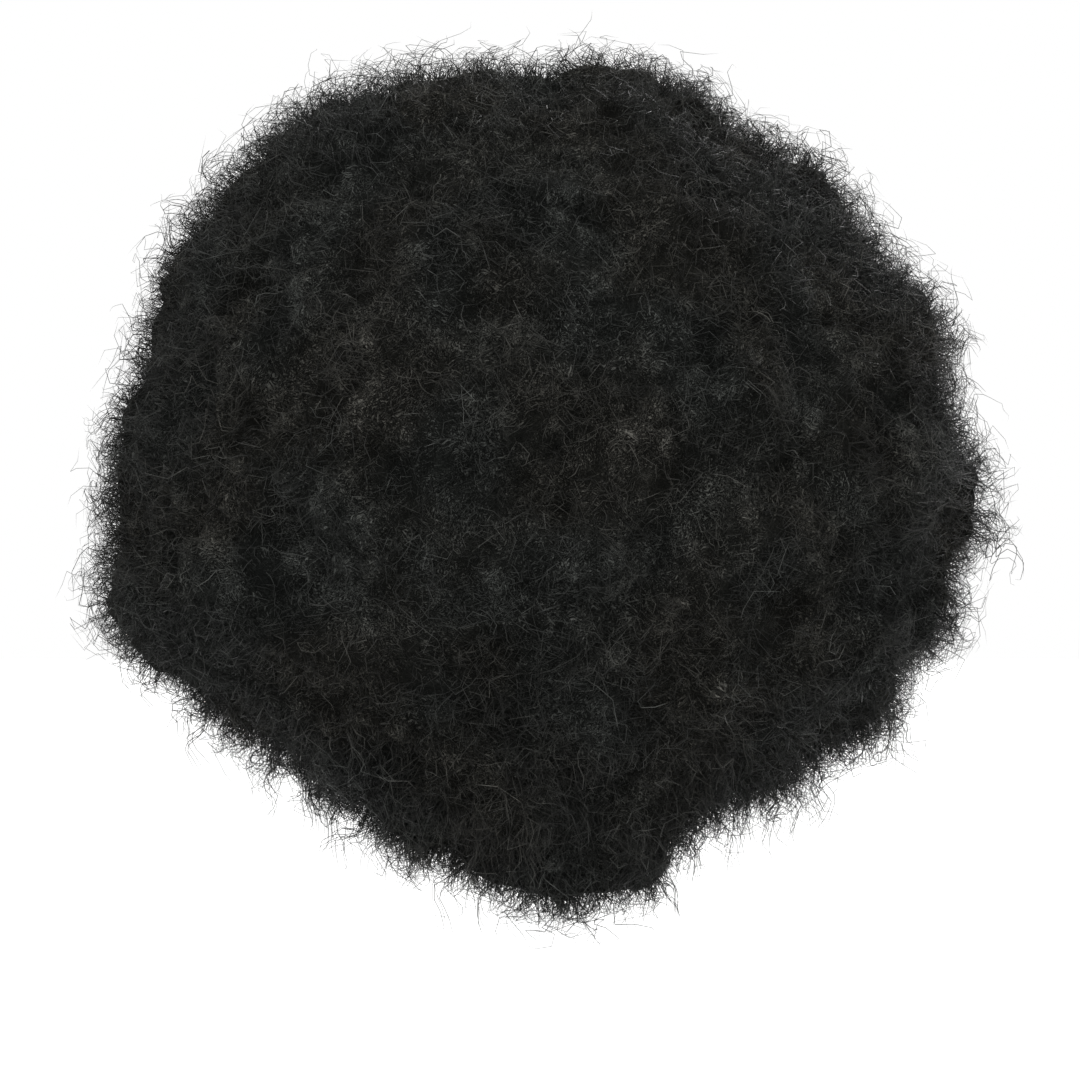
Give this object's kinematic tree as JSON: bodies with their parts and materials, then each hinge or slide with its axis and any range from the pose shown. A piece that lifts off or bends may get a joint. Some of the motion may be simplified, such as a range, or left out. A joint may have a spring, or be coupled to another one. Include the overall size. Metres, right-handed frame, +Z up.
{
  "type": "afro wig",
  "caption": "Large round afro wig: a stretch cap inside one thick ball of black frizzy hair, open for the face and neck.",
  "frame": {"origin": "the crown, on the inside of the cap, where the wig sits on a head", "axes": "+Z up, -Y out through the face opening, +X to the wig's own left"},
  "size_m": [0.3811, 0.3336, 0.3565],
  "materials": {
    "hair": "frizzy black synthetic fibre, soft low sheen",
    "cap": "matte black stretch net"
  },
  "bodies": {
    "root": {"hair": "hair", "wig_cap": "cap"}
  },
  "joints": []
}
